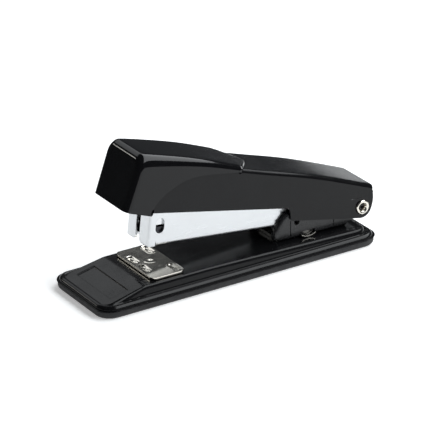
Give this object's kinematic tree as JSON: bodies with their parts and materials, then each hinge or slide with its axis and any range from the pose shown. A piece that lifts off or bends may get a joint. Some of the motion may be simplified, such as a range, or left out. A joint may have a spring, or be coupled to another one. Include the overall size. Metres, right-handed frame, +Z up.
{
  "type": "desk stapler",
  "caption": "Metal desk stapler standing open: pressed base with a two-way anvil, hinged staple magazine and a hinged cover with a moulded front cap.",
  "frame": {"origin": "under the middle of the whole object, on the surface it stands on", "axes": "+X from the nose to the hinge, +Y across, +Z up"},
  "size_m": [0.1222, 0.037, 0.0556],
  "materials": {
    "pad_rubber": "matt moulded",
    "black_paint": "semi-gloss stoved black",
    "black_gloss": "polished moulded black",
    "nickel": "bright nickel plate",
    "steel": "plain bright steel",
    "spring_steel": "rolled spring strip",
    "button_plastic": "matt moulded"
  },
  "bodies": {
    "base": {"base_pad": "pad_rubber", "base_plate": "black_paint", "bracket": "black_paint", "bracket_rivet_front": "steel", "bracket_rivet_rear": "steel", "pivot_pin": "nickel", "return_spring": "spring_steel", "anvil_spring": "spring_steel"},
    "button": {"anvil_button": "button_plastic"},
    "anvil": {"anvil_plate": "nickel", "anvil_rivet": "nickel"},
    "magazine": {"magazine_channel": "nickel", "staple_rail": "steel", "rail_rivet_front": "steel", "rail_rivet_rear": "steel", "spring_stop": "steel", "guide_rod": "steel", "pusher_spring": "spring_steel", "lift_spring": "spring_steel"},
    "pusher": {"pusher": "steel"},
    "cover": {"cover_shell": "black_paint", "front_cap": "black_gloss", "driver_carrier": "spring_steel", "carrier_rivet_front": "steel", "carrier_rivet_rear": "steel", "driver_blade": "steel"}
  },
  "joints": [
    {"name": "magazine_hinge", "type": "hinge", "parent": "base", "child": "magazine", "pos_m": [0.05597, 0, 0.0127], "axis": [0, 1, 0], "range_deg": [-5.3, 0], "stiffness_Nm_per_rad": 0.6, "springref_deg": 11.46, "deforming": ["return_spring"]},
    {"name": "cover_hinge", "type": "hinge", "parent": "magazine", "child": "cover", "pos_m": [0.05597, 0, 0.0127], "axis": [0, 1, 0], "range_deg": [-5.9, 70], "stiffness_Nm_per_rad": 0.6, "springref_deg": 2.29, "deforming": ["lift_spring"]},
    {"name": "pusher_slide", "type": "slide", "parent": "magazine", "child": "pusher", "axis": [0.9942, 0, -0.108], "range_m": [0, 0.055], "stiffness_N_per_m": 40, "springref_m": -0.02, "deforming": ["pusher_spring"]},
    {"name": "anvil_lift", "type": "slide", "parent": "base", "child": "button", "axis": [0, 0, 1], "range_m": [0, 0.0007], "stiffness_N_per_m": 2000, "springref_m": -0.001, "deforming": ["anvil_spring"]},
    {"name": "anvil_turn", "type": "hinge", "parent": "button", "child": "anvil", "pos_m": [-0.03053, 0, 0.0083], "axis": [0, 0, 1], "range_deg": [0, 180]}
  ]
}
